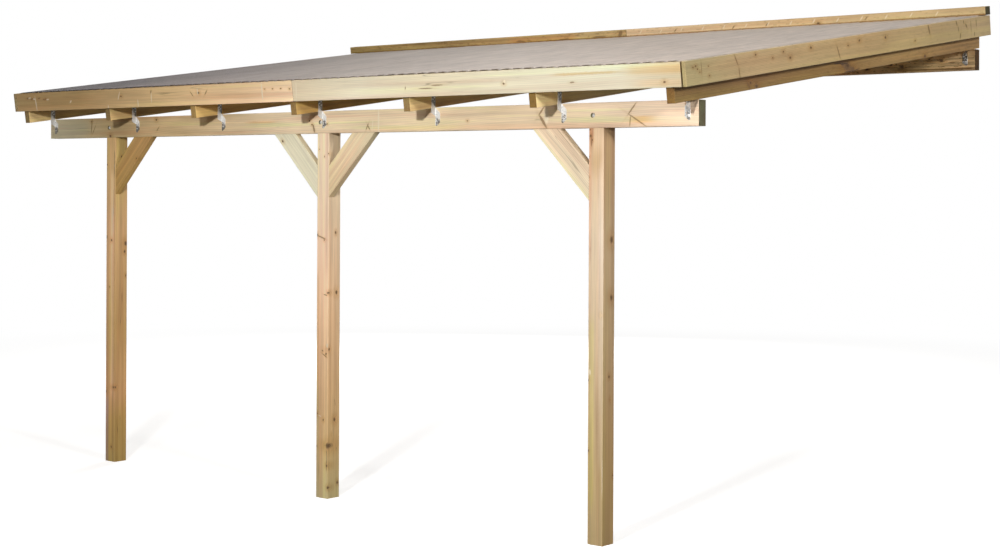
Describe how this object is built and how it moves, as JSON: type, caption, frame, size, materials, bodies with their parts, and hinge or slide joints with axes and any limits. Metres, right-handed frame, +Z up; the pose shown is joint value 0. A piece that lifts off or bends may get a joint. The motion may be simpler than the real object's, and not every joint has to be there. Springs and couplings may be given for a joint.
{
  "type": "lean-to wooden pergola",
  "caption": "Lean-to wooden terrace roof: posts with braces carry a front beam, and rafters run back to a wall beam under ribbed translucent sheets.",
  "frame": {"origin": "middle of the wall beam's back face, where the pergola meets the wall", "axes": "+X to the right along the front beam, +Y back into the wall, +Z up"},
  "size_m": [5.199, 3.1619, 2.7811],
  "materials": {
    "post_pine": "planed, pressure-treated pine, matt, with knots and drying cracks",
    "beam_pine": "planed, pressure-treated pine, matt",
    "brace_pine": "planed, pressure-treated pine with a green cast, matt",
    "rafter_pine": "planed, pressure-treated pine, matt",
    "batten_pine": "sawn, pressure-treated pine, matt",
    "fascia_pine": "planed pale pine boards, matt",
    "barge_pine": "planed olive-brown pine boards, matt, with many small knots",
    "roof_sheet": "smoke-tinted translucent ribbed plastic, satin",
    "galvanised": "hot-dip galvanised, dull spangle"
  },
  "bodies": {
    "root": {"post_left": "post_pine", "post_middle": "post_pine", "post_right": "post_pine", "front_beam": "beam_pine", "wall_beam": "beam_pine", "brace_left": "brace_pine", "brace_middle_left": "brace_pine", "brace_middle_right": "brace_pine", "brace_right": "brace_pine", "rafter_1": "rafter_pine", "rafter_2": "rafter_pine", "rafter_3": "rafter_pine", "rafter_4": "rafter_pine", "rafter_5": "rafter_pine", "rafter_6": "rafter_pine", "rafter_7": "rafter_pine", "roof_batten_1": "batten_pine", "roof_batten_2": "batten_pine", "roof_batten_3": "batten_pine", "roof_batten_4": "batten_pine", "roof_batten_5": "batten_pine", "fascia_left": "fascia_pine", "fascia_right": "fascia_pine", "barge_board_left": "barge_pine", "barge_board_right": "barge_pine", "roof_sheet_1": "roof_sheet", "roof_sheet_2": "roof_sheet", "roof_sheet_3": "roof_sheet", "roof_sheet_4": "roof_sheet", "roof_sheet_5": "roof_sheet", "top_batten_left": "batten_pine", "top_batten_right": "batten_pine", "front_anchors": "galvanised", "wall_anchors": "galvanised", "post_bolts": "galvanised"}
  },
  "joints": []
}
